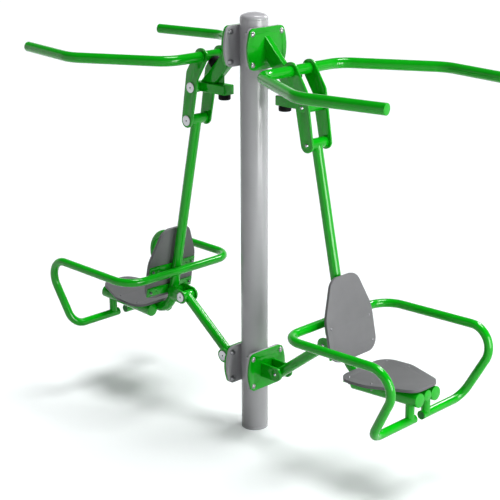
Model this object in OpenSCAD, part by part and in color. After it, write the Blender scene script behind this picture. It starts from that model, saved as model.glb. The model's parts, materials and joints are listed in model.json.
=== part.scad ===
// Outdoor lat pulldown machine for two users: one round post carries two equal units
// back to back. Sizes are in millimetres. The origin is the centre of the post's foot,
// +X runs out along the right unit, +Y across it and +Z up. Each unit is drawn once, for
// the right side, and turned half a turn about the post for the left side.

/* [Post] */
// Outer diameter of the post
post_d = 141.3; // [130:0.1:150]
// Wall of the post tube
post_wall = 5; // [3:0.5:10]
// Height of the post tube
post_h = 2190; // [2180:5:2400]
// Thickness of the round plate under the foot of the post
foot_t = 14; // [6:1:25]
// Straight rim of the post cap
cap_rim = 2; // [2:0.5:8]
// Radius of the cap's shoulder
cap_shoulder_r = 22; // [15:1:30]
// Radius of the cap's crown
cap_crown_r = 150; // [130:5:300]
// Sheet thickness of the post cap
cap_t = 2.5; // [1.5:0.5:4]
// Depth of the cap's spigot in the post
cap_spigot = 20; // [8:1:40]

/* [Bolted flanges] */
// Height of the flange plates
plate_h = 206; // [196:1:230]
// Width of a flange plate at its top and bottom edges
plate_end_w = 232; // [226:1:250]
// Width at which the slanted side edges would meet
plate_peak_w = 294; // [286:1:320]
// Radius that rounds the middle of the side edges
plate_side_r = 208; // [120:1:240]
// Radius of the plate corners
plate_corner_r = 33; // [15:1:36]
// Thickness of the plates welded to the post
flange_t = 12; // [8:1:16]
// Thickness of the plates of the brackets
plate_t = 12; // [8:1:16]
// Depth of the post's seat in the back of a flange
flange_seat = 2; // [1:0.5:4]
// Half width of the weld behind a flange
flange_weld_w = 34; // [20:1:45]
// Depth of the centre of the upper flanges below the top of the post tube
upper_drop = 134; // [120:1:160]
// Height of the centre of the lower flanges
lower_z = 359; // [340:1:420]
// Spacing of the flange bolts across
bolt_pitch_y = 205; // [190:1:210]
// Spacing of the flange bolts up and down
bolt_pitch_z = 150; // [130:1:160]

/* [Flange bolts] */
// Diameter of the flange bolts
bolt_d = 16; // [10:1:18]
// Diameter of the domed bolt heads
bolt_head_d = 29; // [24:1:34]
// Height of the domed bolt heads
bolt_head_h = 8; // [5:0.5:12]
// Width across flats of the bolts' sockets
bolt_socket = 10; // [6:1:12]
// Depth of the bolts' sockets
bolt_socket_t = 5; // [2:0.5:6]
// Width across flats of the nuts
nut_flats = 24; // [20:1:30]
// Height of the nuts
nut_h = 13; // [8:1:20]
// Diameter of the washers
washer_d = 30; // [28:1:40]
// Thickness of the washers
washer_t = 3; // [2:0.5:5]
// Length of the bolt that shows past its nut
bolt_tail = 4; // [2:1:12]

/* [Upper bracket] */
// Depth of the sloping arm's rectangular tube
arm_depth = 76; // [60:1:84]
// Width of the sloping arm's tube
arm_w = 40; // [30:1:60]
// Wall of the arm and beam tubes
box_wall = 4; // [3:0.5:6]
// Outer corner radius of the arm and beam tubes
box_r = 6; // [4:0.5:8]
// Slope of the arm below level, in degrees
arm_slope = 45; // [42:1:48]
// Height of the arm's axis above the flange centre, at the plate
arm_lift = 4.5; // [-5:0.5:15]
// Width of the beam
beam_w = 70; // [50:1:90]
// Height of the beam
beam_h = 50; // [40:1:54]
// Depth of the beam's top face below the centre of the upper flanges
beam_drop = 221; // [216:1:226]
// Distance of the beam's inner end from the post's axis
beam_x = 180; // [160:1:184]
// Thickness of the gusset between beam and arm
gusset_t = 11; // [6:1:16]
// Distance of the gusset's inner edge from the post's axis
gusset_x = 216; // [205:1:230]

/* [Pivots] */
// Pivot A, rocker on the bracket: distance from the post's axis
a_x = 389; // [385:1:395]
// Pivot A: depth below the centre of the upper flanges
a_drop = 250; // [244:1:256]
// Pivot B, lift rod on the rocker: distance from the post's axis
b_x = 423; // [415:1:430]
// Pivot B: depth below the centre of the upper flanges
b_drop = 429; // [421:1:436]
// Pivot C, swing link on the seat frame: distance from the post's axis
c_x = 524; // [515:1:530]
// Pivot C: height above the front end of the seat tubes
c_rise = 100; // [93:1:108]
// Pivot D, swing link on the post bracket: distance from the post's axis
d_x = 193; // [185:1:205]
// Pivot D: height above the centre of the lower flanges
d_rise = 4; // [-20:1:20]
// Diameter of the pivot pins
pin_d = 30; // [20:1:32]
// Diameter of a pin's flat head
pin_head_d = 54; // [48:1:58]
// Thickness of a pin's flat head
pin_head_t = 4; // [3:0.5:8]
// Diameter of the small hole in a pin's head
pin_eye_d = 9; // [4:1:12]
// Depth of the small hole in a pin's head
pin_eye_t = 3; // [1:0.5:8]
// Diameter of the recess round a pin's other end
recess_d = 50; // [40:1:56]
// Depth of the recess round a pin's other end
recess_t = 3; // [2:0.5:5]
// Diameter of the bolt in a pin's end
end_bolt_d = 12; // [8:1:14]
// Length of the bolt in a pin's end
end_bolt_l = 24; // [15:1:40]
// Diameter of that bolt's domed head
end_head_d = 18; // [16:1:24]
// Height of that bolt's domed head
end_head_h = 7; // [4:0.5:10]
// Width across flats of that bolt's socket
end_socket = 8; // [5:1:10]
// Outer diameter of the plain bushes
bush_d = 36; // [34:1:40]
// Diameter of the bush flanges
bush_flange_d = 47; // [42:1:50]
// Thickness of the bush flanges
bush_flange_t = 2.5; // [1.5:0.5:4]
// Length of a bush inside its tube
bush_l = 25; // [12:1:30]
// Outer diameter of the rocker's bearing tube, at pivot A
a_tube_d = 57; // [52:1:62]
// Outer diameter of the other bearing tubes
eye_d = 55; // [54:1:58]

/* [Rocker] */
// Thickness of the rocker plates and of all lug plates
cheek_t = 10; // [8:1:14]
// Clear width between the rocker plates
rocker_gap = 124; // [100:1:130]
// Handlebar tube in the rocker: distance from the post's axis
bar_x = 312; // [306:1:318]
// Handlebar tube in the rocker: depth below the centre of the upper flanges
bar_drop = 81; // [76:1:91]
// Knee of the rocker plates: distance from the post's axis
knee_x = 378; // [372:1:384]
// Knee of the rocker plates: depth below the centre of the upper flanges
knee_drop = 184; // [176:1:191]
// Radius of the rocker plates at the handlebar and the knee
rocker_r = 44; // [38:1:48]
// Radius of the rocker plates at pivot B, and of the lugs' round ends
lug_r = 38; // [34:1:40]

/* [Handlebar] */
// Outer diameter of the handlebar, lift rod and swing link tubes
bar_d = 54; // [44:0.1:54]
// Wall of those tubes
bar_wall = 3; // [2:0.5:4]
// Half width of the handlebar's inner run, to its corners
bar_root_y = 285; // [260:5:320]
// Handlebar's widest corners: distance from the post's axis
bar_spread_x = 785; // [750:5:820]
// Handlebar's widest corners: half width
bar_spread_y = 541; // [500:1:600]
// Handlebar's ends: distance from the post's axis
bar_end_x = 1228; // [1150:2:1300]
// Handlebar's ends: half width
bar_end_y = 470; // [440:5:500]
// Bend radius at the inner corners
bar_root_bend = 130; // [60:5:150]
// Bend radius at the widest corners
bar_spread_bend = 170; // [80:5:200]

/* [Buffers] */
// Diameter of the rubber buffers
buffer_d = 64; // [50:1:70]
// Height of the buffer below the beam
pull_buffer_h = 28; // [10:1:30]
// Distance of that buffer from the post's axis
pull_buffer_x = 212; // [205:1:215]

/* [Seat frame] */
// Where the lift rod's lower bend is set out: distance from the post's axis
bend_x = 660; // [640:1:670]
// Radius of the lift rod's lower bend
rod_bend = 130; // [120:5:150]
// Front end of the seat tubes: distance from the post's axis
seat_front_x = 1147; // [1130:1:1200]
// Front end of the seat tubes: height
seat_front_z = 517; // [510:1:530]
// Rise of the seat tubes towards the front, in degrees
seat_rise = 3; // [1:0.5:5]
// Outer diameter of the two seat rails
rail_d = 70; // [60:0.5:74]
// Height of the rails' tops over the top of the lift rod
rail_over = 1; // [0.5:0.5:3]
// Wall of the seat rails
rail_wall = 3; // [2:0.5:4]
// Rear end of the seat rails: distance from the post's axis
rail_back_x = 745; // [735:5:755]
// Thickness of the flat bars that carry the boards
strap_t = 8; // [4:1:10]
// Width of those flat bars
strap_w = 50; // [40:1:60]
// Length of the board's flat bars past their screws
strap_past = 20; // [15:1:25]
// Thickness of the tube end caps
end_cap_t = 3; // [2:0.5:5]
// Depth of the end caps' spigots
end_spigot = 12; // [6:1:25]

/* [Armrest loop] */
// Outer diameter of the armrest loop tube
loop_d = 44.5; // [40:0.1:48]
// Wall of the armrest loop tube
loop_wall = 3; // [2:0.5:4]
// Rear run of the loop: distance from the post's axis
loop_back_x = 560; // [556:1:564]
// Rear run of the loop: height above the front end of the seat tubes
loop_back_rise = 240; // [233:1:248]
// Rear corners of the loop: half width
loop_back_y = 385; // [360:5:420]
// Front corners of the loop: distance from the post's axis
loop_front_x = 1297; // [1280:1:1340]
// Front corners of the loop: height above the front end of the seat tubes
loop_front_rise = 255; // [243:1:273]
// Front corners of the loop: half width
loop_front_y = 388; // [370:1:420]
// Lower run of the loop: distance from the post's axis
loop_low_x = 1090; // [1080:1:1100]
// Lower run of the loop: depth below the front end of the seat tubes
loop_low_drop = 127; // [117:1:147]
// Lower corners of the loop: half width
loop_low_y = 354; // [330:2:370]
// Half of the gap between the loop's two ends
loop_end_y = 27; // [20:1:30]
// Bend radius at the loop's rear corners
loop_back_bend = 115; // [90:5:130]
// Bend radius at the loop's front corners
loop_front_bend = 110; // [90:5:130]
// Bend radius at the loop's lower corners
loop_low_bend = 80; // [50:5:90]

/* [Boards] */
// Thickness of the backrest and seat boards
board_t = 15; // [10:1:20]
// Gap between the lift rod's axis and the back of the backrest
back_gap = 41; // [37:1:50]
// Backrest's top edge, measured up the rod from its lower corner
back_top = 504; // [480:2:530]
// Backrest's bottom edge, measured up the rod from its lower corner
back_bottom = 90; // [84:1:97]
// Backrest's widest part ends here, measured up the rod from its lower corner
back_shoulder = 317; // [300:1:340]
// Width of the backrest
back_w = 342; // [330:2:380]
// Width of the backrest's top edge, to its corners
back_top_w = 184; // [170:2:220]
// Seat board's rear edge, measured back from where the seat is set out
seat_back = 48; // [40:1:60]
// Seat board's front edge, measured forward from there
seat_front = 367; // [350:1:385]
// Seat board starts to narrow here, measured forward from there
seat_shoulder = 130; // [120:2:150]
// Width of the seat board
seat_w = 366; // [350:2:380]
// Width of the seat board's front edge, to its corners
seat_front_w = 176; // [170:2:220]
// Radius of the boards' corners
board_r = 70; // [50:2:72]
// Radius where the boards start to narrow
board_waist_r = 150; // [100:10:200]
// Where the seat is set out, measured forward from the end of the rod's bend
seat_set = 10; // [8:1:30]
// Distance of the backrest's screws from its widest sides
back_screw_inset = 26; // [20:1:36]
// Distance of the seat's screws from its widest sides
seat_screw_inset = 38; // [32:1:46]
// Radius of the seat board's rear corners
seat_r = 78; // [60:2:78]
// Width of the two flat bars under the seat, the rear one centred where it is set out
seat_strap_w = 40; // [30:1:40]
// Upper back strap, measured up the rod from its lower corner
strap_high = 266; // [259:1:279]
// Lower back strap, measured up the rod from its lower corner
strap_low = 137; // [129:1:149]
// Front seat strap, measured forward from where the seat is set out
strap_fore = 140; // [110:5:160]
// Diameter of the board screws
screw_d = 8; // [5:1:10]
// Diameter of the screws' flat domed heads
screw_head_d = 14; // [13:1:20]
// Height of the screws' heads
screw_head_h = 4; // [2:0.5:6]
// Width across flats of the screws' sockets
screw_socket = 5; // [4:1:7]
// Width across flats of the screws' nuts
screw_nut = 13; // [12:1:18]
// Height of the screws' nuts
screw_nut_h = 7; // [5:0.5:10]

/* [Swing link] */
// Clear width between the lugs at both ends of the swing link
lug_gap = 76; // [70:1:90]
// Length of the seat frame's lugs from pivot C to the centre of their front round
lug_reach = 68; // [60:1:74]
// Rise of those lugs towards the front, in degrees
lug_rise = 6; // [0:1:12]

/* [Hidden] */
$fn = 64;

// Colours
green = [0.09, 0.62, 0.10];
dark_green = [0.10, 0.36, 0.14];
steel_grey = [0.60, 0.61, 0.62];
board_grey = [0.49, 0.50, 0.51];
rubber_black = [0.07, 0.07, 0.07];
stainless = [0.80, 0.80, 0.82];
bronze = [0.66, 0.55, 0.36];

// Clearances
overrun = 1;
weld_gap = 0.1;
press_gap = 0.02;
running_gap = 0.05;
screw_gap = 0.4;
side_gap = 0.5;
soft_gap = 0.3;
arc_steps = 8;
bend_steps = 6;
tube_sides = 24;

// Post and flanges
upper_z = post_h - upper_drop;
post_r = post_d / 2;
post_bore_r = post_r - post_wall;
flange_back = post_r - flange_seat;
plate_back = flange_back + flange_t;
face_x = plate_back + plate_t;
shoulder_x = post_r - cap_shoulder_r;
crown_fall = sqrt(pow(cap_crown_r - cap_shoulder_r, 2) - shoulder_x * shoulder_x);
crown_from = atan2(crown_fall, shoulder_x);
spigot_r = post_bore_r - weld_gap;
plate_edge_inset = 8;

// Arm: its axis leaves the plate at arm_start and runs along arm_dir
beam_top_z = upper_z - beam_drop;
arm_start = [face_x, 0, upper_z + arm_lift];
arm_dir = [cos(arm_slope), 0, -sin(arm_slope)];
arm_up = [sin(arm_slope), 0, cos(arm_slope)];
arm_reach = (arm_start.z - beam_top_z) / sin(arm_slope) + arm_depth;
beam_axis_z = beam_top_z - beam_h / 2;
beam_end_share = 0.25;
beam_end_x = a_x - a_tube_d * beam_end_share;

// Pivots and their pins
pivot_a = [a_x, 0, upper_z - a_drop];
pivot_b = [b_x, 0, upper_z - b_drop];
pivot_c = [c_x, 0, seat_front_z + c_rise];
pivot_d = [d_x, 0, lower_z + d_rise];
pin_r = pin_d / 2;
pin_hole_r = pin_r + press_gap;
bush_r = bush_d / 2;
bush_bore_r = pin_r + running_gap;
housing_bore_r = bush_r + press_gap;
rocker_half = rocker_gap / 2;
lug_half = lug_gap / 2;
rocker_tube_half = rocker_half - side_gap - bush_flange_t;
eye_half = lug_half - side_gap - bush_flange_t;
end_bolt_gap = 0.1;

// Rocker and handlebar
bar_r = bar_d / 2;
bar_at = [bar_x, 0, upper_z - bar_drop];
knee_at = [knee_x, 0, upper_z - knee_drop];
rest_foot = bar_at - arm_up * ((bar_at - arm_start) * arm_up - arm_depth / 2);
rest_buffer_h = (bar_at - rest_foot) * arm_up - bar_r - soft_gap;
buffer_edge_share = 0.12;

// Lift rod: straight from pivot B to the bend's corner, then forward under the seat
seat_dir = [cos(seat_rise), 0, sin(seat_rise)];
tubes_front = [seat_front_x, 0, seat_front_z];
rod_corner = tubes_front - seat_dir * (seat_front_x - bend_x) / seat_dir.x;
rod_dir = (rod_corner - pivot_b) / norm(rod_corner - pivot_b);
rod_lean = atan2(rod_dir.x, -rod_dir.z);
rod_end = tubes_front - seat_dir * end_cap_t;
rail_r = rail_d / 2;
rail_sink = rail_r - bar_r - rail_over;
rail_reach = bar_r + rail_r + weld_gap;
rail_y = sqrt(rail_reach * rail_reach - rail_sink * rail_sink);
seat_up = [-seat_dir.z, 0, seat_dir.x];
rail_tip = tubes_front - seat_up * rail_sink;
rail_front = rail_tip - seat_dir * end_cap_t;
bend_start = rod_bend * tan(acos(rod_dir * seat_dir) / 2);
rail_back = rail_tip - seat_dir * (seat_front_x - rail_back_x) / seat_dir.x;
seat_at = rod_corner + seat_dir * (bend_start + seat_set);

// Armrest loop and the posts that carry it
loop_r = loop_d / 2;
loop_low_z = seat_front_z - loop_low_drop;
loop_half = [
    [loop_low_x, loop_end_y, loop_low_z],
    [loop_low_x, loop_low_y, loop_low_z],
    [loop_front_x, loop_front_y, seat_front_z + loop_front_rise],
    [loop_back_x, loop_back_y, seat_front_z + loop_back_rise]
];
loop_bends = [loop_low_bend, loop_front_bend, loop_back_bend];
plug_sink = 2;
plug_t = 4;

// Straps: flat on the boards at their ends, set back to the rod in the middle
back_screw_y = back_w / 2 - back_screw_inset;
seat_screw_y = seat_w / 2 - seat_screw_inset;
back_strap_half = back_screw_y + strap_past;
seat_strap_half = seat_screw_y + strap_past;
strap_flat_share = 0.45;
strap_seat_share = 0.18;
back_strap_front = back_gap - strap_t;
strap_hole_share = 0.62;
strap_hole_r = 4;
seat_strap_z = bar_r + rail_over + weld_gap;
seat_board_z = seat_strap_z + strap_t;

// Lugs
lug_far = pivot_c + lug_reach * [cos(lug_rise), 0, sin(lug_rise)];
lug_plate_t = cheek_t;
lug_plate_h = lug_r;

// Outlines and round runs

function unit_of(v) = v / norm(v);

// Points of the arc of radius r round centre, between two angles
function arc_points(centre, r, from, to) =
    [for (i = [0:arc_steps]) let (a = from + (to - from) * i / arc_steps) centre + r * [cos(a), sin(a)]];

// Points of the arc of radius r that rounds corner p between its neighbours a and b
function corner_arc(a, p, b, r) =
    let (
        u = unit_of(a - p),
        v = unit_of(b - p),
        half = acos(u * v) / 2,
        centre = p + unit_of(u + v) * r / sin(half),
        first = p + u * r / tan(half) - centre,
        start = atan2(first.y, first.x),
        turn = sign(cross(p - a, b - p)) * (180 - 2 * half)
    )
    [for (k = [0:arc_steps]) centre + r * [
        cos(start + turn * k / arc_steps),
        sin(start + turn * k / arc_steps)
    ]];

// Closed outline through corners [x, y, radius], taken anticlockwise
function rounded(corners) = [
    for (i = [0:len(corners) - 1]) each
        let (
            n = len(corners),
            a = corners[(i + n - 1) % n],
            p = corners[i],
            b = corners[(i + 1) % n]
        )
        corner_arc([a.x, a.y], [p.x, p.y], [b.x, b.y], p.z)
];

// Adds the mirror image of the corners on the +X side, which run upwards
function both_sides(corners) = concat(
    corners,
    [for (i = [len(corners) - 1:-1:0]) [-corners[i].x, corners[i].y, corners[i].z]]
);

// Adds the mirror image across the XZ plane of the points of one half
function both_ends(points) = concat(
    points,
    [for (i = [len(points) - 1:-1:0]) [points[i].x, -points[i].y, points[i].z]]
);
function forth_and_back(list) = concat(list, [for (i = [len(list) - 1:-1:0]) list[i]]);

module ring(r, wall) {
    difference() {
        circle(r = r);
        circle(r = r - wall);
    }
}

// Turns local +Z to the way from one point to another, starting at the first
module along(from, to) {
    d = to - from;
    translate(from) rotate([0, acos(d.z / norm(d)), atan2(d.y, d.x)]) children();
}

// Vector v turned by angle a about an axis through the origin
function turned(v, axis, a) = v * cos(a) + cross(axis, v) * sin(a) + axis * (axis * v) * (1 - cos(a));

// Sections of a bent tube after its first one, from run i on. Each is [place, side, way]:
// its centre, the direction of its first corner and the tube's direction.
function sections(points, radii, side, i = 0) =
    let (way = unit_of(points[i + 1] - points[i]))
    i == len(points) - 2 ? [[points[i + 1], side, way]] :
    let (
        out = unit_of(points[i + 2] - points[i + 1]),
        turn = acos(way * out),
        axis = unit_of(cross(way, out)),
        from = points[i + 1] - way * radii[i] * tan(turn / 2),
        centre = from + cross(axis, way) * radii[i]
    )
    concat(
        [for (k = [0:bend_steps]) [
            centre + turned(from - centre, axis, turn * k / bend_steps),
            turned(side, axis, turn * k / bend_steps),
            turned(way, axis, turn * k / bend_steps)
        ]],
        sections(points, radii, turned(side, axis, turn), i + 1)
    );

// Round tube through the points, with a bend at each inner one
module bent_tube(points, radii, r, wall) {
    way = unit_of(points[1] - points[0]);
    side = unit_of(cross(way, [0, 0, 1]));
    rings = concat([[points[0], side, way]], sections(points, radii, side));
    corners = [for (s = rings, ring_r = [r, r - wall], j = [0:tube_sides - 1])
        s[0] + ring_r * (
            s[1] * cos(j * 360 / tube_sides) + cross(s[2], s[1]) * sin(j * 360 / tube_sides)
        )];
    n = tube_sides;
    last = (len(rings) - 1) * 2 * n;
    faces = [for (j = [0:n - 1]) let (next = (j + 1) % n) each concat(
        [for (k = [0:2 * n:last - 2 * n]) each [
            [k + j, k + 2 * n + j, k + 2 * n + next, k + next],
            [k + n + j, k + n + next, k + 3 * n + next, k + 3 * n + j]
        ]],
        [
            [j, next, n + next, n + j],
            [last + j, last + n + j, last + n + next, last + next]
        ]
    )];
    polyhedron(corners, faces);
}

// Directions and places

module right_side() { children(); }
module left_side() { rotate([0, 0, 180]) children(); }
module both_units() {
    right_side() children();
    left_side() children();
}
module both_hands() {
    children();
    mirror([0, 1, 0]) children();
}

// Draws in XZ and gives thickness along Y, centred on y
module side_plate(y, t) {
    translate([0, y, 0]) rotate([90, 0, 0]) linear_extrude(t, center = true) children();
}

// Draws in YZ and gives thickness along +X from x
module face_plate(x, t) {
    translate([x, 0, 0]) rotate([90, 0, 90]) linear_extrude(t) children();
}

// Turns local +Z to +Y
module across() { rotate([-90, 0, 0]) children(); }

// Frame on the lift rod: origin at its lower corner, +X to the front of the backrest, +Z up the rod
module on_rod() { translate(rod_corner) rotate([0, -rod_lean, 0]) children(); }

// Frame on the seat: +X forward along the rails, +Z through the seat board
module on_seat() { translate(seat_at) rotate([0, -seat_rise, 0]) children(); }

// Solid rod across the machine at a point, for bores and copings
module cross_bore(at, r, half) {
    translate(at) across() translate([0, 0, -half]) cylinder(r = r, h = 2 * half);
}

module bearing_tube(at, r, half) {
    difference() {
        cross_bore(at, r, half);
        cross_bore(at, housing_bore_r, half + overrun);
    }
}

// The two flanged bushes at the ends of a bearing tube
module bush_pair(at, half) {
    translate(at) both_hands() across() translate([0, 0, half]) difference() {
        union() {
            translate([0, 0, -bush_l]) cylinder(r = bush_r, h = bush_l);
            cylinder(d = bush_flange_d, h = bush_flange_t);
        }
        translate([0, 0, -bush_l - overrun])
            cylinder(r = bush_bore_r, h = bush_l + bush_flange_t + 2 * overrun);
    }
}

// Domed head with a hexagon socket, its seat at z = 0
module domed_head(d, h, socket, socket_t) {
    ball = (d * d / 4 + h * h) / (2 * h);
    difference() {
        intersection() {
            cylinder(d = d, h = h);
            translate([0, 0, h - ball]) sphere(r = ball);
        }
        translate([0, 0, h - socket_t]) cylinder(d = socket / cos(30), h = socket_t, $fn = 6);
    }
}

// A pin's shaft from local z = low to high, with its flat head on top
module pin_body(low, high) {
    difference() {
        union() {
            translate([0, 0, low]) cylinder(r = pin_r, h = high - low);
            translate([0, 0, high]) cylinder(d = pin_head_d, h = pin_head_t);
        }
        translate([0, 0, high + pin_head_t - pin_eye_t]) cylinder(d = pin_eye_d, h = pin_head_t);
    }
}

// Bore for the bolt in a pin's low end, from local z = 0 up
module end_bore(l) {
    translate([0, 0, -overrun])
        cylinder(d = end_bolt_d + 2 * end_bolt_gap, h = l + end_bolt_gap + overrun);
}

// The bolt and washer in the recess at a pin's low end, its seat at local z = 0
module end_bolt(l) {
    cylinder(d = end_bolt_d, h = l);
    translate([0, 0, -recess_t]) cylinder(d = recess_d - 2 * side_gap, h = recess_t);
    translate([0, 0, -recess_t]) mirror([0, 0, 1])
        domed_head(end_head_d, end_head_h, end_socket, end_head_h / 2);
}

// A whole pin with its end bolt, across two plates whose outer faces are at +-half
module pin_set(at, half) {
    low = -half + recess_t;
    translate(at) across() {
        difference() {
            pin_body(low, half);
            translate([0, 0, low]) end_bore(end_bolt_l);
        }
        translate([0, 0, low]) end_bolt(end_bolt_l);
    }
}

// Bores through two plates for a pin, with the recess at its low end
module pin_bores(at, half) {
    cross_bore(at, pin_hole_r, half + overrun);
    translate(at) across() translate([0, 0, -half - overrun])
        cylinder(d = recess_d, h = recess_t + overrun);
}

// Post

module post_tube() {
    color(steel_grey) difference() {
        translate([0, 0, foot_t]) cylinder(r = post_r, h = post_h - foot_t);
        cylinder(r = post_bore_r, h = post_h + overrun);
    }
}

module post_foot() {
    color(steel_grey) cylinder(r = post_r, h = foot_t);
}

// Points of the cap's outline, set in by depth, from its shoulder's foot to the axis
function cap_line(depth) = concat(
    arc_points([shoulder_x, cap_rim], cap_shoulder_r - depth, 0, crown_from),
    arc_points([0, cap_rim - crown_fall], cap_crown_r - depth, crown_from, 90)
);

module post_cap() {
    inside = cap_line(cap_t);
    color(steel_grey) translate([0, 0, post_h]) rotate_extrude() polygon(concat(
        [[spigot_r, -cap_spigot], [spigot_r, 0], [post_r, 0]],
        cap_line(0),
        [for (i = [len(inside) - 1:-1:0]) inside[i]],
        [[spigot_r - cap_t, cap_rim], [spigot_r - cap_t, -cap_spigot]]
    ));
}

module plate_outline() {
    polygon(rounded(both_sides([
        [plate_end_w / 2, -plate_h / 2, plate_corner_r],
        [plate_peak_w / 2, 0, plate_side_r],
        [plate_end_w / 2, plate_h / 2, plate_corner_r]
    ])));
}

// Holds children at the four bolts of one flange
module at_bolts() {
    for (y = [-1, 1], z = [-1, 1]) {
        translate([0, y * bolt_pitch_y / 2, z * bolt_pitch_z / 2]) children();
    }
}

module bolt_bores() {
    at_bolts() translate([flange_back - overrun, 0, 0]) rotate([0, 90, 0])
        cylinder(d = bolt_d + 2 * screw_gap, h = flange_t + plate_t + 2 * overrun);
}

module post_flange() {
    difference() {
        union() {
            face_plate(flange_back, flange_t) plate_outline();
            translate([post_bore_r, -flange_weld_w, -plate_h / 2 + plate_edge_inset])
                cube([
                    flange_back - post_bore_r,
                    2 * flange_weld_w,
                    plate_h - 2 * plate_edge_inset
                ]);
        }
        translate([0, 0, -plate_h]) cylinder(r = post_r + weld_gap, h = 2 * plate_h);
        bolt_bores();
    }
}

module post_flanges() {
    color(steel_grey) both_units() for (z = [upper_z, lower_z]) translate([0, 0, z]) post_flange();
}

module flange_bolts() {
    low = flange_back - washer_t - nut_h - bolt_tail;
    color(stainless) both_units() for (z = [upper_z, lower_z]) translate([0, 0, z]) at_bolts() {
        rotate([0, 90, 0]) {
            translate([0, 0, low]) cylinder(d = bolt_d, h = face_x - low);
            translate([0, 0, face_x])
                domed_head(bolt_head_d, bolt_head_h, bolt_socket, bolt_socket_t);
        }
    }
}

module flange_nut() {
    translate([flange_back - washer_t - nut_h, 0, 0]) rotate([0, 90, 0]) difference() {
        union() {
            cylinder(d = nut_flats / cos(30), h = nut_h, $fn = 6);
            translate([0, 0, nut_h]) cylinder(d = washer_d, h = washer_t);
        }
        translate([0, 0, -overrun])
            cylinder(d = bolt_d + 2 * end_bolt_gap, h = nut_h + washer_t + 2 * overrun);
    }
}

module flange_nuts() {
    color(stainless) both_units() for (z = [upper_z, lower_z]) translate([0, 0, z])
        at_bolts() flange_nut();
}

module bracket_plates(z) {
    color(green) both_units() translate([0, 0, z]) difference() {
        face_plate(plate_back, plate_t) plate_outline();
        bolt_bores();
    }
}
module upper_plates() { bracket_plates(upper_z); }
module lower_plates() { bracket_plates(lower_z); }

// Upper bracket

function box_corners(w, h, r) = both_sides([[w / 2, -h / 2, r], [w / 2, h / 2, r]]);

module box_profile(w, h) {
    difference() {
        polygon(rounded(box_corners(w, h, box_r)));
        polygon(rounded(box_corners(w - 2 * box_wall, h - 2 * box_wall, box_r / 2)));
    }
}

module bracket_arms() {
    color(green) both_units() intersection() {
        translate(arm_start - arm_dir * arm_depth)
            rotate([0, arm_slope, 0])
            rotate([90, 0, 90])
            linear_extrude(arm_reach + arm_depth) box_profile(arm_w, arm_depth);
        translate([face_x, -arm_w, beam_top_z]) cube([a_x, 2 * arm_w, plate_h + arm_reach]);
    }
}

module bracket_beams() {
    color(green) both_units() difference() {
        union() {
            translate([0, 0, beam_axis_z])
                face_plate(beam_x + box_wall, beam_end_x - beam_x - box_wall)
                box_profile(beam_w, beam_h);
            translate([0, 0, beam_axis_z]) face_plate(beam_x, box_wall)
                polygon(rounded(box_corners(beam_w, beam_h, box_r)));
        }
        cross_bore(pivot_a, a_tube_d / 2 + weld_gap, beam_w);
    }
}

module arm_gussets() {
    under = arm_start - arm_up * arm_depth / 2;
    height_at_edge = under.z - (gusset_x - under.x) * tan(arm_slope);
    color(green) both_units() side_plate(0, gusset_t) polygon([
        [gusset_x, beam_top_z],
        [under.x + (under.z - beam_top_z) / tan(arm_slope), beam_top_z],
        [gusset_x, height_at_edge]
    ]);
}

module rocker_housings() {
    color(green) both_units() bearing_tube(pivot_a, a_tube_d / 2, rocker_tube_half);
}

module rocker_bushes() {
    color(bronze) both_units() bush_pair(pivot_a, rocker_tube_half);
}

// Rubber block standing on z = 0, with its free edge rounded off by a cone
module buffer(h) {
    edge = buffer_d * buffer_edge_share;
    cylinder(d = buffer_d, h = h - edge / 2);
    translate([0, 0, h - edge / 2]) cylinder(d1 = buffer_d, d2 = buffer_d - edge, h = edge / 2);
}

module rest_buffers() {
    color(rubber_black) both_units() translate(rest_foot) rotate([0, arm_slope, 0])
        buffer(rest_buffer_h);
}

module pull_buffers() {
    color(rubber_black) both_units()
        translate([pull_buffer_x, 0, beam_top_z - beam_h]) mirror([0, 0, 1]) buffer(pull_buffer_h);
}

// Lower lugs and their pins

module lower_lugs() {
    color(green) both_units() difference() {
        for (s = [-1, 1]) side_plate(s * (lug_half + cheek_t / 2), cheek_t) union() {
            translate([d_x, pivot_d.z]) circle(r = lug_r);
            translate([face_x, pivot_d.z - lug_r]) square([d_x - face_x, 2 * lug_r]);
        }
        pin_bores(pivot_d, lug_half + cheek_t);
    }
}

module lower_link_pins() {
    color(stainless) both_units() pin_set(pivot_d, lug_half + cheek_t);
}

// Rocker

module rocker_plates() {
    color(green) difference() {
        for (s = [-1, 1]) side_plate(s * (rocker_half + cheek_t / 2), cheek_t) {
            hull() {
                translate([bar_x, bar_at.z]) circle(r = rocker_r);
                translate([knee_x, knee_at.z]) circle(r = rocker_r);
            }
            hull() {
                translate([knee_x, knee_at.z]) circle(r = rocker_r);
                translate([b_x, pivot_b.z]) circle(r = lug_r);
            }
        }
        cross_bore(bar_at, bar_r + weld_gap, rocker_half + cheek_t + overrun);
        pin_bores(pivot_a, rocker_half + cheek_t);
        pin_bores(pivot_b, rocker_half + cheek_t);
    }
}

bar_half = [
    [bar_end_x, bar_end_y, bar_at.z],
    [bar_spread_x, bar_spread_y, bar_at.z],
    [bar_x, bar_root_y, bar_at.z]
];
bar_out = unit_of(bar_half[0] - bar_half[1]);

module handlebar() {
    ends = [bar_half[0] - bar_out * end_cap_t, bar_half[1], bar_half[2]];
    color(green) bent_tube(
        both_ends(ends), forth_and_back([bar_spread_bend, bar_root_bend]), bar_r, bar_wall
    );
}

// Radius of what sits inside a tube, clear of a bent tube's flats
function plug_r(r, wall) = (r - wall) * cos(180 / tube_sides) - weld_gap;

// Flat end cap with a spigot, its outer face at the given point
module end_cap(tip, way, r, wall) {
    along(tip, tip - way) {
        cylinder(r = r, h = end_cap_t);
        cylinder(r = plug_r(r, wall), h = end_cap_t + end_spigot);
    }
}

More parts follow.
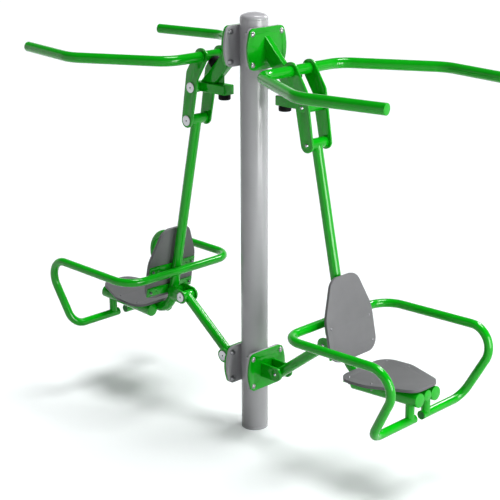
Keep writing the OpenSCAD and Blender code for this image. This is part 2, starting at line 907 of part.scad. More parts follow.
module handlebar_caps() {
    color(green) both_hands() end_cap(bar_half[0], bar_out, bar_r, bar_wall);
}

module rocker_pins() {
    color(stainless) {
        pin_set(pivot_a, rocker_half + cheek_t);
        pin_set(pivot_b, rocker_half + cheek_t);
    }
}

// Seat frame

module lift_housing() {
    color(green) bearing_tube(pivot_b, eye_d / 2, rocker_tube_half);
}

module lift_bushes() {
    color(bronze) bush_pair(pivot_b, rocker_tube_half);
}

module lift_rod() {
    color(green) difference() {
        bent_tube([pivot_b, rod_corner, rod_end], [rod_bend], bar_r, bar_wall);
        cross_bore(pivot_b, eye_d / 2 + weld_gap, eye_d);
    }
}

module seat_rails() {
    color(green) for (s = [-1, 1]) translate([0, s * rail_y, 0])
        along(rail_back + seat_dir * end_cap_t, rail_front)
        linear_extrude(norm(rail_front - rail_back) - end_cap_t) ring(rail_r, rail_wall);
}

// Plug that sits inside a tube, a little below its end
module tube_plug(tip, way, r, wall) {
    along(tip - way * plug_sink, tip - way * end_spigot)
        cylinder(r = plug_r(r, wall), h = plug_t);
}

module tube_caps() {
    color(green) {
        end_cap(tubes_front, seat_dir, bar_r, bar_wall);
        for (s = [-1, 1]) translate([0, s * rail_y, 0]) {
            end_cap(rail_tip, seat_dir, rail_r, rail_wall);
            end_cap(rail_back, -seat_dir, rail_r, rail_wall);
        }
    }
}

module loop_plugs() {
    color(dark_green) both_hands() tube_plug(loop_half[0], [0, -1, 0], loop_r, loop_wall);
}

module armrest_loop() {
    color(green) difference() {
        bent_tube(both_ends(loop_half), forth_and_back(loop_bends), loop_r, loop_wall);
        along(pivot_b, rod_corner) cylinder(r = bar_r + weld_gap, h = norm(rod_corner - pivot_b));
    }
}

module loop_posts() {
    color(green) difference() {
        for (s = [-1, 1]) translate([loop_low_x, s * rail_y, loop_low_z])
            linear_extrude(seat_front_z - loop_low_z) ring(loop_r, loop_wall);
        cross_bore([loop_low_x, 0, loop_low_z], loop_r + weld_gap, loop_low_y);
        for (s = [-1, 1]) translate([0, s * rail_y, 0]) along(rail_back, rail_tip)
            cylinder(r = rail_r + weld_gap, h = seat_front_x);
    }
}

// Boards and straps

// Back strap centred at a distance up the rod. Where it reaches the rod's bend it
// stands off by as much as the bend swings forward.
module back_strap(up) {
    flat = back_strap_half * strap_flat_share;
    seat = back_strap_half * strap_seat_share;
    past = max(0, bend_start - up + strap_w / 2);
    inner = rod_bend - bar_r;
    rod_strap_front = bar_r + weld_gap + inner - sqrt(inner * inner - past * past);
    rear = [
        [back_strap_front, -back_strap_half],
        [back_strap_front, -flat],
        [rod_strap_front, -seat],
        [rod_strap_front, seat],
        [back_strap_front, flat],
        [back_strap_front, back_strap_half]
    ];
    front = [for (i = [len(rear) - 1:-1:0]) rear[i] + [strap_t, 0]];
    translate([0, 0, up - strap_w / 2]) linear_extrude(strap_w) polygon(concat(rear, front));
}

module board_straps() {
    color(green) {
        on_rod() difference() {
            for (up = [strap_high, strap_low]) back_strap(up);
            for (up = [strap_high, strap_low], s = [-1, 1]) translate([0, 0, up])
                rotate([0, 90, 0]) {
                    translate([0, s * back_screw_y, 0])
                        cylinder(d = screw_d + screw_gap, h = back_gap + overrun);
                    translate([0, s * back_strap_half * strap_hole_share, 0])
                        cylinder(r = strap_hole_r, h = back_gap + overrun);
                }
        }
        on_seat() difference() {
            for (x = [0, strap_fore])
                translate([x - seat_strap_w / 2, -seat_strap_half, seat_strap_z])
                    cube([seat_strap_w, 2 * seat_strap_half, strap_t]);
            for (x = [0, strap_fore], s = [-1, 1]) translate([x, s * seat_screw_y, 0])
                cylinder(d = screw_d + screw_gap, h = seat_board_z + overrun);
        }
    }
}

module backrest_board() {
    outline = rounded(both_sides([
        [back_w / 2, back_bottom, board_r],
        [back_w / 2, back_shoulder, board_waist_r],
        [back_top_w / 2, back_top, board_r]
    ]));
    color(board_grey) on_rod() difference() {
        face_plate(back_gap, board_t) polygon(outline);
        for (up = [strap_high, strap_low], s = [-1, 1])
            translate([back_gap - overrun, s * back_screw_y, up]) rotate([0, 90, 0])
                cylinder(d = screw_d + screw_gap, h = board_t + 2 * overrun);
    }
}

module seat_board() {
    outline = rounded(both_sides([
        [seat_w / 2, -seat_back, seat_r],
        [seat_w / 2, seat_shoulder, board_waist_r],
        [seat_front_w / 2, seat_front, board_r]
    ]));
    color(board_grey) on_seat() difference() {
        translate([0, 0, seat_board_z]) rotate([0, 0, -90]) linear_extrude(board_t) polygon(outline);
        for (x = [0, strap_fore], s = [-1, 1])
            translate([x, s * seat_screw_y, seat_board_z - overrun])
                cylinder(d = screw_d + screw_gap, h = board_t + 2 * overrun);
    }
}

// Screw through a board and its strap, with its nut; local z = 0 is the strap's back
module board_screw() {
    top = strap_t + board_t;
    translate([0, 0, -2 * screw_nut_h]) cylinder(d = screw_d, h = top + 2 * screw_nut_h);
    translate([0, 0, top]) domed_head(screw_head_d, screw_head_h, screw_socket, screw_head_h / 2);
    translate([0, 0, -screw_nut_h]) difference() {
        cylinder(d = screw_nut / cos(30), h = screw_nut_h, $fn = 6);
        translate([0, 0, -overrun])
            cylinder(d = screw_d + 2 * end_bolt_gap, h = screw_nut_h + 2 * overrun);
    }
}

module board_screws() {
    color(stainless) {
        on_rod() for (up = [strap_high, strap_low], s = [-1, 1])
            translate([back_strap_front, s * back_screw_y, up]) rotate([0, 90, 0]) board_screw();
        on_seat() for (x = [0, strap_fore], s = [-1, 1])
            translate([x, s * seat_screw_y, seat_strap_z]) board_screw();
    }
}

// Swing lugs on the lift rod, and the upper pivot of the link

module swing_lugs() {
    color(green) difference() {
        union() {
            for (s = [-1, 1]) side_plate(s * (lug_half + cheek_t / 2), cheek_t) hull() {
                translate([c_x, pivot_c.z]) circle(r = lug_r);
                translate([lug_far.x, lug_far.z]) circle(r = lug_r);
            }
            translate([lug_far.x, 0, lug_far.z]) rotate([0, -rod_lean, 0])
                translate([-lug_plate_t, -lug_half - overrun, -lug_plate_h / 2])
                cube([lug_plate_t * 3, 2 * (lug_half + overrun), lug_plate_h]);
        }
        along(pivot_b, rod_corner) cylinder(r = bar_r + weld_gap, h = norm(rod_corner - pivot_b));
        pin_bores(pivot_c, lug_half + cheek_t);
    }
}

// The ends of pin C, which sit in the lugs; its middle rides in the link's eye
module upper_link_pin() {
    out = lug_half + cheek_t;
    low = -out + recess_t;
    color(stainless) translate(pivot_c) across() {
        pin_body(lug_half, out);
        difference() {
            translate([0, 0, low]) cylinder(r = pin_r, h = -lug_half - low);
            translate([0, 0, low]) end_bore(cheek_t);
        }
        translate([0, 0, low]) end_bolt(-lug_half - low);
    }
}

// Swing link

module link_tube() {
    color(green) difference() {
        along(pivot_d, pivot_c) linear_extrude(norm(pivot_c - pivot_d)) ring(bar_r, bar_wall);
        for (at = [pivot_d, pivot_c]) cross_bore(at, eye_d / 2 + weld_gap, eye_d);
    }
}

module link_eyes() {
    color(green) for (at = [pivot_d, pivot_c]) bearing_tube(at, eye_d / 2, eye_half);
}

// Bushes of both eyes, and the middle of pin C
module link_bushes() {
    color(bronze) for (at = [pivot_d, pivot_c]) bush_pair(at, eye_half);
    color(stainless) cross_bore(pivot_c, pin_r, eye_half + bush_flange_t);
}

// Nodes of the right and left units

module right_rocker_plates() { right_side() rocker_plates(); }
module right_handlebar() { right_side() handlebar(); }
module right_handlebar_caps() { right_side() handlebar_caps(); }
module right_rocker_pins() { right_side() rocker_pins(); }
module right_lift_housing() { right_side() lift_housing(); }
module right_lift_bushes() { right_side() lift_bushes(); }
module right_lift_rod() { right_side() lift_rod(); }
module right_seat_rails() { right_side() seat_rails(); }
module right_tube_caps() { right_side() tube_caps(); }
module right_armrest_loop() { right_side() armrest_loop(); }
module right_loop_plugs() { right_side() loop_plugs(); }
module right_loop_posts() { right_side() loop_posts(); }
module right_board_straps() { right_side() board_straps(); }
module right_backrest_board() { right_side() backrest_board(); }
module right_seat_board() { right_side() seat_board(); }
module right_board_screws() { right_side() board_screws(); }
module right_swing_lugs() { right_side() swing_lugs(); }
module right_upper_link_pin() { right_side() upper_link_pin(); }
module right_link_tube() { right_side() link_tube(); }
module right_link_eyes() { right_side() link_eyes(); }
module right_link_bushes() { right_side() link_bushes(); }

module left_rocker_plates() { left_side() rocker_plates(); }
module left_handlebar() { left_side() handlebar(); }
module left_handlebar_caps() { left_side() handlebar_caps(); }
module left_rocker_pins() { left_side() rocker_pins(); }
module left_lift_housing() { left_side() lift_housing(); }
module left_lift_bushes() { left_side() lift_bushes(); }
module left_lift_rod() { left_side() lift_rod(); }
module left_seat_rails() { left_side() seat_rails(); }
module left_tube_caps() { left_side() tube_caps(); }
module left_armrest_loop() { left_side() armrest_loop(); }
module left_loop_plugs() { left_side() loop_plugs(); }
module left_loop_posts() { left_side() loop_posts(); }
module left_board_straps() { left_side() board_straps(); }
module left_backrest_board() { left_side() backrest_board(); }
module left_seat_board() { left_side() seat_board(); }
module left_board_screws() { left_side() board_screws(); }
module left_swing_lugs() { left_side() swing_lugs(); }
module left_upper_link_pin() { left_side() upper_link_pin(); }
module left_link_tube() { left_side() link_tube(); }
module left_link_eyes() { left_side() link_eyes(); }
module left_link_bushes() { left_side() link_bushes(); }

post_tube();
post_foot();
post_cap();
post_flanges();
flange_bolts();
flange_nuts();
upper_plates();
lower_plates();
bracket_arms();
bracket_beams();
arm_gussets();
rocker_housings();
rocker_bushes();
rest_buffers();
pull_buffers();
lower_lugs();
lower_link_pins();
right_rocker_plates();
right_handlebar();
right_handlebar_caps();
right_rocker_pins();
right_lift_housing();
right_lift_bushes();
right_lift_rod();
right_seat_rails();
right_tube_caps();
right_armrest_loop();
right_loop_plugs();
right_loop_posts();
right_board_straps();
right_backrest_board();
right_seat_board();
right_board_screws();
right_swing_lugs();
right_upper_link_pin();
right_link_tube();
right_link_eyes();
right_link_bushes();
left_rocker_plates();
left_handlebar();
left_handlebar_caps();
left_rocker_pins();
left_lift_housing();
left_lift_bushes();
left_lift_rod();
left_seat_rails();
left_tube_caps();
left_armrest_loop();
left_loop_plugs();
left_loop_posts();
left_board_straps();
left_backrest_board();
left_seat_board();
left_board_screws();
left_swing_lugs();
left_upper_link_pin();
left_link_tube();
left_link_eyes();
left_link_bushes();
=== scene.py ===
"""Looks of an outdoor lat pulldown machine, built round its packed construction model.

All sizes are in metres, in the construction model's frame: +X runs out along the right
unit, +Y across the machine and +Z up from the ground. What is made for the right unit is
turned half a turn about the post for the left one.
"""
import json
import math

import bpy
from mathutils import Matrix, Vector

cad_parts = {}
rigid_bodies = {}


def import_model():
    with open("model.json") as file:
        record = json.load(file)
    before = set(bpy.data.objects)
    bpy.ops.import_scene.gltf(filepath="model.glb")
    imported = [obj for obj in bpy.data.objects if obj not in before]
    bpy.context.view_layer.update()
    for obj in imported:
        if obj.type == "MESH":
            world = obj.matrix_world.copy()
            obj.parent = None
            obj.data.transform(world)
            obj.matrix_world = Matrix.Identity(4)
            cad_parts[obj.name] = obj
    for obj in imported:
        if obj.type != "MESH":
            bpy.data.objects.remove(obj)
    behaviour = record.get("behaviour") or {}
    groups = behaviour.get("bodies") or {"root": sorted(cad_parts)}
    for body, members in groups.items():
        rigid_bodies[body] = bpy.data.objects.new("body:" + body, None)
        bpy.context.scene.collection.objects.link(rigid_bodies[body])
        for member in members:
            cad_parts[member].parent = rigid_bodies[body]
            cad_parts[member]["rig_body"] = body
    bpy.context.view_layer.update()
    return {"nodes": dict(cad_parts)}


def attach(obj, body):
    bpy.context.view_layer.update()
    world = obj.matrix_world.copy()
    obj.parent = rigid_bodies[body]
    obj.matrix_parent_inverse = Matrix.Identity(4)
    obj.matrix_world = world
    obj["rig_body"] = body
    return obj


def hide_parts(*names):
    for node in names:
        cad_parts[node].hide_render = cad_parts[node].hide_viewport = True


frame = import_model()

# The camera stands in front of the right unit, a little above the grips, and looks down
# at the machine from 17 degrees with a long lens.
view_turn = math.radians(44.46)
view_drop = math.radians(17.34)
view_roll = math.radians(-0.18)
view_distance = 7.047
view_centre = Vector((-0.0165, -0.0162, 0.9929))
lens_mm = 97.5
sight = Matrix.Rotation(view_turn, 3, "Z") @ Matrix.Rotation(math.pi / 2 - view_drop, 3, "X")
sight = sight @ Matrix.Rotation(view_roll, 3, "Z")
camera_data = bpy.data.cameras.new("camera")
camera_data.lens = lens_mm
camera = bpy.data.objects.new("camera", camera_data)
bpy.context.scene.collection.objects.link(camera)
camera_place = view_centre + sight @ Vector((0, 0, view_distance))
camera.matrix_world = Matrix.Translation(camera_place) @ sight.to_4x4()
bpy.context.scene.camera = camera

# The studio is a wide white floor under soft light: a big overhead lamp that throws the
# faint shadows, two upright panels on the right and a dim sky. Two more panels, one between
# those and one high behind, only show in the gloss. The sky looks white near the horizon.
floor_half = 60
bpy.ops.object.select_all(action="DESELECT")
bpy.ops.mesh.primitive_plane_add(size=2 * floor_half, location=(0, 0, 0))
floor = bpy.context.object
floor.name = "floor"


def shown_ray(nodes, links):
    """Gives 1 for rays from the camera, off gloss and through glass, and 0 for all others."""
    path = nodes.new("ShaderNodeLightPath")
    mirrored = nodes.new("ShaderNodeMath")
    mirrored.operation = "MAXIMUM"
    shown = nodes.new("ShaderNodeMath")
    shown.operation = "MAXIMUM"
    links.new(path.outputs["Is Glossy Ray"], mirrored.inputs[0])
    links.new(path.outputs["Is Transmission Ray"], mirrored.inputs[1])
    links.new(path.outputs["Is Camera Ray"], shown.inputs[0])
    links.new(mirrored.outputs[0], shown.inputs[1])
    return shown.outputs[0]


floor_paint = bpy.data.materials.new("floor_paint")
floor_paint.use_nodes = True
floor_nodes, floor_links = floor_paint.node_tree.nodes, floor_paint.node_tree.links
floor_nodes.clear()
floor_out = floor_nodes.new("ShaderNodeOutputMaterial")
floor_white = floor_nodes.new("ShaderNodeBsdfDiffuse")
floor_white.inputs["Color"].default_value = (0.80, 0.83, 0.83, 1)
floor_glow = floor_nodes.new("ShaderNodeEmission")
floor_glow.inputs["Color"].default_value = (0.97, 0.99, 1.0, 1)
floor_glow.inputs["Strength"].default_value = 0.25
floor_bright = floor_nodes.new("ShaderNodeAddShader")
floor_links.new(floor_white.outputs[0], floor_bright.inputs[0])
floor_links.new(floor_glow.outputs[0], floor_bright.inputs[1])
floor_dull = floor_nodes.new("ShaderNodeBsdfDiffuse")
floor_dull.inputs["Color"].default_value = (0.44, 0.44, 0.44, 1)
# The floor looks white, but it sends less light than that back up at the machine.
floor_mix = floor_nodes.new("ShaderNodeMixShader")
floor_links.new(shown_ray(floor_nodes, floor_links), floor_mix.inputs["Fac"])
floor_links.new(floor_dull.outputs[0], floor_mix.inputs[1])
floor_links.new(floor_bright.outputs[0], floor_mix.inputs[2])
floor_links.new(floor_mix.outputs[0], floor_out.inputs["Surface"])
floor.data.materials.append(floor_paint)


def lamp(name, kind, energy, place, aim, **settings):
    """A lamp at a place that shines at aim."""
    data = bpy.data.lights.new(name, kind)
    data.energy = energy
    for key, value in settings.items():
        setattr(data, key, value)
    light = bpy.data.objects.new(name, data)
    bpy.context.scene.collection.objects.link(light)
    way = Vector(aim) - Vector(place)
    light.matrix_world = Matrix.Translation(place) @ way.to_track_quat("-Z", "Y").to_matrix().to_4x4()
    return light


lamp("overhead_lamp", "SUN", 2.9, (0.6, 1.6, 6), (0, 0, 0), angle=math.radians(26))
for panel, across in (("near_panel", -1.0), ("far_panel", 1.5)):
    lamp(panel, "AREA", 95, (5.3, across, 2.0), (0, 0, 1.4), shape="RECTANGLE", size=0.55, size_y=3.4)
shine_panel = lamp(
    "shine_panel", "AREA", 200, (5.4, 0.25, 2.1), (0, 0, 1.5), shape="RECTANGLE", size=1.3, size_y=3.2
)
glint_panel = lamp(
    "glint_panel", "AREA", 110, (0.35, 3.6, 3.8), (0, 0, 0.5), shape="RECTANGLE", size=1.0, size_y=1.0
)
for panel in (shine_panel, glint_panel):
    panel.visible_diffuse = False

sky = bpy.data.worlds.new("sky")
bpy.context.scene.world = sky
sky.use_nodes = True
sky_nodes, sky_links = sky.node_tree.nodes, sky.node_tree.links
sky_nodes.clear()
sky_out = sky_nodes.new("ShaderNodeOutputWorld")
sky_way = sky_nodes.new("ShaderNodeTexCoord")
sky_height = sky_nodes.new("ShaderNodeSeparateXYZ")
sky_links.new(sky_way.outputs["Generated"], sky_height.inputs[0])
sky_mix = sky_nodes.new("ShaderNodeMixShader")
sky_links.new(shown_ray(sky_nodes, sky_links), sky_mix.inputs["Fac"])
sky_links.new(sky_mix.outputs[0], sky_out.inputs["Surface"])


def sky_band(socket, band_top, band_glow, fade_top):
    """Feeds the sky's mix with an even band of light above the horizon that fades higher up."""
    ramp = sky_nodes.new("ShaderNodeValToRGB")
    ramp.color_ramp.elements[0].position = band_top
    ramp.color_ramp.elements[0].color = (band_glow, band_glow, band_glow, 1)
    ramp.color_ramp.elements[1].position = fade_top
    ramp.color_ramp.elements[1].color = (0.10, 0.10, 0.105, 1)
    glow = sky_nodes.new("ShaderNodeBackground")
    sky_links.new(sky_height.outputs["Z"], ramp.inputs["Fac"])
    sky_links.new(ramp.outputs["Color"], glow.inputs["Color"])
    sky_links.new(glow.outputs[0], sky_mix.inputs[socket])


lighting_sky = 1
shown_sky = 2
sky_band(lighting_sky, band_top=0.02, band_glow=0.25, fade_top=0.35)
sky_band(shown_sky, band_top=0.22, band_glow=1.0, fade_top=0.40)
bpy.context.scene.view_settings.view_transform = "Standard"


def new_material(name):
    """A new material with its nodes, its links and its shader."""
    material = bpy.data.materials.new(name)
    material.use_nodes = True
    nodes, links = material.node_tree.nodes, material.node_tree.links
    return material, nodes, links, nodes["Principled BSDF"]


def add_noise(nodes, links, scale, detail):
    """Noise that stays put on the piece."""
    place = nodes.new("ShaderNodeTexCoord")
    noise = nodes.new("ShaderNodeTexNoise")
    noise.inputs["Scale"].default_value = scale
    noise.inputs["Detail"].default_value = detail
    links.new(place.outputs["Object"], noise.inputs["Vector"])
    return noise.outputs["Fac"]


def add_tint(nodes, links, amount, colour, other_colour):
    """Mixes two colours by an amount and colours the shader with them."""
    tint = nodes.new("ShaderNodeMix")
    tint.data_type = "RGBA"
    tint.inputs["A"].default_value = (*colour, 1)
    tint.inputs["B"].default_value = (*other_colour, 1)
    links.new(amount, tint.inputs["Factor"])
    links.new(tint.outputs["Result"], nodes["Principled BSDF"].inputs["Base Color"])


def add_gloss(nodes, links, amount, smoothest, roughest):
    """Makes the shader's roughness uneven between two values."""
    gloss = nodes.new("ShaderNodeMapRange")
    gloss.inputs["To Min"].default_value = smoothest
    gloss.inputs["To Max"].default_value = roughest
    links.new(amount, gloss.inputs["Value"])
    links.new(gloss.outputs["Result"], nodes["Principled BSDF"].inputs["Roughness"])


def add_bumps(nodes, links, height, strength, depth):
    """Raises fine bumps on the shader."""
    bump = nodes.new("ShaderNodeBump")
    bump.inputs["Strength"].default_value = strength
    bump.inputs["Distance"].default_value = depth
    links.new(height, bump.inputs["Height"])
    links.new(bump.outputs["Normal"], nodes["Principled BSDF"].inputs["Normal"])


def powder_coat(name, colour, deep_colour, roughness, shine):
    """Baked powder paint: a fine orange peel, a faint cloudiness and slightly uneven gloss."""
    paint, nodes, links, shader = new_material(name)
    shader.inputs["Specular IOR Level"].default_value = shine
    cloud = add_noise(nodes, links, 9, 4)
    spread = nodes.new("ShaderNodeMapRange")
    spread.inputs["From Min"].default_value = 0.35
    spread.inputs["From Max"].default_value = 0.75
    links.new(cloud, spread.inputs["Value"])
    add_tint(nodes, links, spread.outputs["Result"], colour, deep_colour)
    add_gloss(nodes, links, cloud, roughness * 0.85, roughness * 1.2)
    add_bumps(nodes, links, add_noise(nodes, links, 420, 2), 0.05, 0.0004)
    return paint


def paint_over(piece, paint):
    """Gives a piece or a node one finish all over."""
    piece.data.materials.clear()
    piece.data.materials.append(paint)


merge_gap = 0.00001
flat_angle = math.radians(0.6)
round_angle = math.radians(32)
sharp_angle = math.radians(40)


def finished(node, paint, edge=0.0, segments=2):
    """A worked copy of a node: its faces made whole, its sharp edges broken, then painted."""
    source = frame["nodes"][node]
    paint_over(source, paint)
    bpy.ops.object.select_all(action="DESELECT")
    piece = bpy.data.objects.new(node + "_finished", source.data.copy())
    bpy.context.scene.collection.objects.link(piece)
    piece.select_set(True)
    bpy.context.view_layer.objects.active = piece
    bpy.ops.mesh.customdata_custom_splitnormals_clear()
    bpy.ops.object.mode_set(mode="EDIT")
    bpy.ops.mesh.select_all(action="SELECT")
    bpy.ops.mesh.remove_doubles(threshold=merge_gap)
    bpy.ops.mesh.dissolve_limited(angle_limit=flat_angle)
    bpy.ops.object.mode_set(mode="OBJECT")
    if edge:
        bevel = piece.modifiers.new("edges", "BEVEL")
        bevel.width = edge
        bevel.segments = segments
        bevel.limit_method = "ANGLE"
        bevel.angle_limit = sharp_angle
        bpy.ops.object.modifier_apply(modifier=bevel.name)
    bpy.ops.object.shade_smooth_by_angle(angle=round_angle)
    paint_over(piece, paint)
    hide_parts(node)
    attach(piece, source["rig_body"])
    return piece


# The post is a round steel tube that stands on a round foot plate and is closed by a
# shallow domed cap. All three are welded, ground smooth and powder coated in grey.
grey_paint = powder_coat("grey_paint", (0.51, 0.51, 0.53), (0.48, 0.48, 0.50), 0.24, 0.45)
for node in ("post_tube", "post_foot", "post_cap"):
    finished(node, grey_paint, edge=0.0015)

# The flanges are four 12 mm plates with bowed sides, welded to the post in pairs back to
# back and coated with it.
finished("post_flanges", grey_paint, edge=0.0015)

# The brackets are made of thick steel plate and rectangular tube, welded together and
# powder coated in glossy green before they are bolted to the flanges.
green_paint = powder_coat("green_paint", (0.002, 0.46, 0.006), (0.001, 0.42, 0.005), 0.12, 0.32)
bracket_nodes = (
    "upper_plates", "lower_plates", "bracket_arms", "bracket_beams", "arm_gussets", "lower_lugs"
)
for node in bracket_nodes:
    finished(node, green_paint, edge=0.0015)
finished("rocker_housings", green_paint, edge=0.001)


# The bolts, nuts and pins are turned from stainless steel and left bare. Only the washers
# at the pins' plain ends are coated green; the eyes in the pins' heads carry painted shade.
def turned_steel(name, colour, roughness):
    """Bare metal with fine tool marks."""
    steel, nodes, links, shader = new_material(name)
    shader.inputs["Base Color"].default_value = (*colour, 1)
    shader.inputs["Metallic"].default_value = 1
    marks = add_noise(nodes, links, 700, 3)
    add_gloss(nodes, links, marks, roughness * 0.7, roughness * 1.4)
    add_bumps(nodes, links, marks, 0.08, 0.0002)
    return steel


# Painted shade: the flange bolts and nuts get a darker copy of the stainless, for the dimmer
# reflection they show.
shaded_bolt_steel = turned_steel("shaded_bolt_steel", (0.30, 0.30, 0.31), 0.28)
for node in ("flange_bolts", "flange_nuts"):
    finished(node, shaded_bolt_steel, edge=0.0008)

stainless = turned_steel("stainless_steel", (0.48, 0.48, 0.50), 0.20)
# Painted shade: the board screws get a darker copy of the stainless, for the dimmer reflection they
# show.
shaded_screw_steel = turned_steel("shaded_screw_steel", (0.20, 0.20, 0.21), 0.35)
# Painted shade: a near black steel that stands for the shade in the recessed eyes of the pin heads.
painted_eye_shade = turned_steel("painted_eye_shade", (0.06, 0.06, 0.065), 0.45)
washer_least_r = 0.0095
shaded_eye_most_r = 0.006
least_outward = 0.9
green_slot = 1
eye_shade_slot = 2


def finished_pins(node):
    """Finished pins, with green washers at their plain ends and painted shade in the eyes of their
    big heads.
    """
    pins = finished(node, stainless, edge=0.0006)
    pins.data.materials.append(green_paint)
    pins.data.materials.append(painted_eye_shade)
    for face in pins.data.polygons:
        end_way = -1 if face.center.x > 0 else 1
        reach = max((pins.data.vertices[v].co - face.center).length for v in face.vertices)
        at_end = face.center.y * end_way > 0
        faces_out = face.normal.y * end_way > least_outward
        if at_end and faces_out and reach > washer_least_r:
            face.material_index = green_slot
        # Faces in the eye of the head get the painted shade.
        if not at_end and reach < shaded_eye_most_r:
            face.material_index = eye_shade_slot


finished_pins("lower_link_pins")
sides = ("right_", "left_")
for side in sides:
    finished(side + "board_screws", shaded_screw_steel, edge=0.0006)
    finished_pins(side + "rocker_pins")
    finished_pins(side + "upper_link_pin")

# The pivots run in plain flanged bushes of dull bronze, pressed into the housings and the
# eyes. Only their flanges can show.
bronze = turned_steel("bush_bronze", (0.42, 0.30, 0.14), 0.45)
finished("rocker_bushes", bronze)
for side in sides:
    for node in ("lift_bushes", "link_bushes"):
        finished(side + node, bronze)

# The stops are round blocks of black rubber: one hangs under the beam and ends the pull,
# and one on the arm takes the handlebar when it is let go.
rubber, rubber_nodes, rubber_links, rubber_shader = new_material("black_rubber")
rubber_shader.inputs["Roughness"].default_value = 0.6
rubber_shader.inputs["Specular IOR Level"].default_value = 0.1
rubber_grain = add_noise(rubber_nodes, rubber_links, 600, 2)
rubber_ramp = rubber_nodes.new("ShaderNodeValToRGB")
rubber_ramp.color_ramp.elements[0].color = (0.001, 0.001, 0.001, 1)
rubber_ramp.color_ramp.elements[1].color = (0.004, 0.004, 0.004, 1)
rubber_links.new(rubber_grain, rubber_ramp.inputs["Fac"])
rubber_links.new(rubber_ramp.outputs["Color"], rubber_shader.inputs["Base Color"])
add_bumps(rubber_nodes, rubber_links, rubber_grain, 0.15, 0.0003)
for node in ("rest_buffers", "pull_buffers"):
    finished(node, rubber, edge=0.002)

# The rocker is a pair of cranked 10 mm plates, joined by the handlebar that is welded
# through their tops.
for side in sides:
    finished(side + "rocker_plates", green_paint, edge=0.0012)
    finished(side + "handlebar_caps", green_paint, edge=0.003, segments=3)


# The bent tubes are welded steel tube, bent cold on a former: the handlebar, the lift rod
# and the armrest loop.
def bent_pipe(name, corners, radii, pipe_r, wall, pipe_sides=48, bend_steps=16):
    """One tube through the corners, run out straight by straight and spun round its bends."""
    bpy.ops.object.select_all(action="DESELECT")
    way = (corners[1] - corners[0]).normalized()
    turn_in = way.to_track_quat("Z", "Y").to_euler()
    bpy.ops.mesh.primitive_circle_add(
        vertices=pipe_sides, radius=pipe_r, location=corners[0], rotation=turn_in
    )
    pipe = bpy.context.object
    pipe.name = name
    bpy.ops.object.mode_set(mode="EDIT")
    here = corners[0].copy()
    for corner, after, radius in zip(corners[1:-1], corners[2:], radii):
        way = (corner - here).normalized()
        out = (after - corner).normalized()
        turn = way.angle(out)
        reach = radius * math.tan(turn / 2)
        start = corner - way * reach
        axis = way.cross(out).normalized()
        centre = start + axis.cross(way) * radius
        bpy.ops.mesh.extrude_region_move(TRANSFORM_OT_translate={"value": start - here})
        bpy.ops.mesh.spin(steps=bend_steps, angle=turn, center=centre, axis=-axis)
        here = corner + out * reach
    bpy.ops.mesh.extrude_region_move(TRANSFORM_OT_translate={"value": corners[-1] - here})
    bpy.ops.mesh.select_all(action="SELECT")
    bpy.ops.mesh.normals_make_consistent(inside=False)
    bpy.ops.object.mode_set(mode="OBJECT")
    bpy.ops.object.transform_apply(location=True, rotation=True, scale=True)
    thickness = pipe.modifiers.new("wall", "SOLIDIFY")
    thickness.thickness = wall
    thickness.offset = -1
    bpy.ops.object.modifier_apply(modifier=thickness.name)
    bpy.ops.object.shade_smooth_by_angle(angle=sharp_angle)
    return pipe


def both_ends(points):
    """Adds the mirror image across the machine of the points of one half."""
    return points + [Vector((p.x, -p.y, p.z)) for p in reversed(points)]


def turned_round(piece, name):
    """The same piece for the left unit: a copy turned half a turn about the post."""
    twin = bpy.data.objects.new(name, piece.data.copy())
    bpy.context.scene.collection.objects.link(twin)
    twin.data.transform(Matrix.Rotation(math.pi, 4, "Z"))
    return twin


def fit_both(piece, name, node, body):
    """Fits the right unit's green piece and its twin in place of a node on each side."""
    twin = turned_round(piece, "left_" + name)
    for side, one in (("right_", piece), ("left_", twin)):
        paint_over(one, green_paint)
        paint_over(frame["nodes"][side + node], green_paint)
        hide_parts(side + node)
        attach(one, side + body)


bar_r = 0.027
pipe_wall = 0.003
bar_z = 1.975
cap_t = 0.003
bar_tip = Vector((1.228, 0.470, bar_z))
bar_wide = Vector((0.785, 0.541, bar_z))
bar_root = Vector((0.312, 0.285, bar_z))
bar_tip = bar_tip - (bar_tip - bar_wide).normalized() * cap_t
bar_bends = [0.170, 0.130, 0.130, 0.170]
bar_points = both_ends([bar_tip, bar_wide, bar_root])
handlebar = bent_pipe("right_handlebar_tube", bar_points, bar_bends, bar_r, pipe_wall)
fit_both(handlebar, "handlebar_tube", "handlebar", "rocker")

# The seat hangs on one long tube, the lift rod: it comes down from the rocker behind the
# backrest, bends forward and runs on between two thicker rails that carry the seat.
pivot_b = Vector((0.423, 0, 1.627))
rod_corner = Vector((0.660, 0, 0.4915))
rod_tip = Vector((1.147, 0, 0.517))
rod_tip = rod_tip - (rod_tip - rod_corner).normalized() * cap_t
rod_bend = 0.130
housing_r = 0.0276
housing_w = 0.09
lift_rod = bent_pipe("right_lift_tube", [pivot_b, rod_corner, rod_tip], [rod_bend], bar_r, pipe_wall)


def coped(piece, centre, way, radius, length):
    """Cuts a tube's end to the round of the tube that it is welded to."""
    bpy.ops.mesh.primitive_cylinder_add(
        vertices=64, radius=radius, depth=length, location=centre,
        rotation=way.to_track_quat("Z", "Y").to_euler(),
    )
    cutter = bpy.context.object
    cut = piece.modifiers.new("cope", "BOOLEAN")
    cut.operation = "DIFFERENCE"
    cut.object = cutter
    cut.solver = "EXACT"
    bpy.ops.object.select_all(action="DESELECT")
    piece.select_set(True)
    bpy.context.view_layer.objects.active = piece
    bpy.ops.object.modifier_apply(modifier=cut.name)
    bpy.data.objects.remove(cutter)
    bpy.ops.object.shade_smooth_by_angle(angle=sharp_angle)


coped(lift_rod, pivot_b, Vector((0, 1, 0)), housing_r, housing_w)
fit_both(lift_rod, "lift_tube", "lift_rod", "seat")
for side in sides:
    finished(side + "lift_housing", green_paint, edge=0.001)
    finished(side + "seat_rails", green_paint)
    finished(side + "tube_caps", green_paint, edge=0.001)

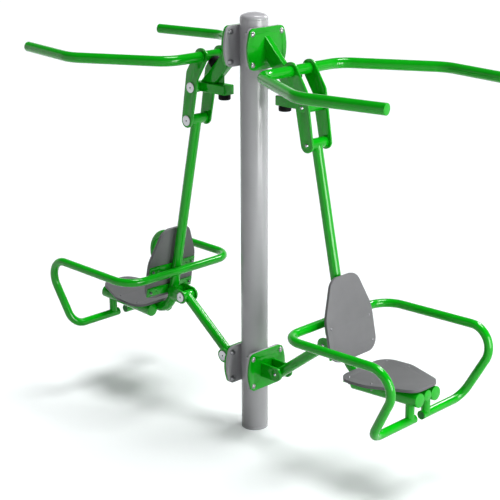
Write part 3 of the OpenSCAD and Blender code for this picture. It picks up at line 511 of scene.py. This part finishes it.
# The armrest loop is one tube that crosses behind the lift rod, runs forward on both
# sides and comes back under the feet of two short posts, with a plug in each end.
loop_r = 0.02225
loop_half = [
    Vector((1.090, 0.027, 0.390)), Vector((1.090, 0.354, 0.390)),
    Vector((1.297, 0.388, 0.772)), Vector((0.560, 0.385, 0.757)),
]
loop_bends = [0.080, 0.110, 0.115, 0.115, 0.110, 0.080]
armrest = bent_pipe("right_armrest_tube", both_ends(loop_half), loop_bends, loop_r, pipe_wall)
rod_run = rod_corner - pivot_b
coped(armrest, (pivot_b + rod_corner) / 2, rod_run, bar_r, rod_run.length)
fit_both(armrest, "armrest_tube", "armrest_loop", "seat")
plug_green = powder_coat("plug_green", (0.020, 0.22, 0.035), (0.016, 0.18, 0.030), 0.5, 0.3)
for side in sides:
    finished(side + "loop_posts", green_paint)
    finished(side + "loop_plugs", plug_green, edge=0.001)

# The boards are cut from 15 mm grey plastic sheet with rounded edges, and each is
# screwed to two flat bars that are welded to the tubes behind it.
for side in sides:
    finished(side + "board_straps", green_paint, edge=0.0012)


def board_plastic(name, colour, pale_colour):
    """Dull plastic board with a fine grain and faint pale clouds."""
    plastic, nodes, links, shader = new_material(name)
    shader.inputs["Roughness"].default_value = 0.55
    shader.inputs["Specular IOR Level"].default_value = 0.3
    add_tint(nodes, links, add_noise(nodes, links, 14, 3), colour, pale_colour)
    add_bumps(nodes, links, add_noise(nodes, links, 260, 5), 0.12, 0.0004)
    return plastic


back_plastic = board_plastic("board_plastic", (0.165, 0.166, 0.172), (0.195, 0.196, 0.203))
# Painted shade: the seat boards get a darker copy of the backrests' plastic, for the weaker light on
# their upward faces.
shaded_seat_plastic = board_plastic("shaded_seat_plastic", (0.130, 0.131, 0.136), (0.153, 0.154, 0.160))
for side in sides:
    finished(side + "backrest_board", back_plastic, edge=0.003, segments=4)
    finished(side + "seat_board", shaded_seat_plastic, edge=0.003, segments=4)

# The swing link is a tube with a cross tube at each end. Its upper one turns between two
# lugs behind the lift rod's foot, and its lower one between the lugs on the post.
for side in sides:
    finished(side + "swing_lugs", green_paint, edge=0.0012)
    finished(side + "link_tube", green_paint)
    finished(side + "link_eyes", green_paint, edge=0.001)
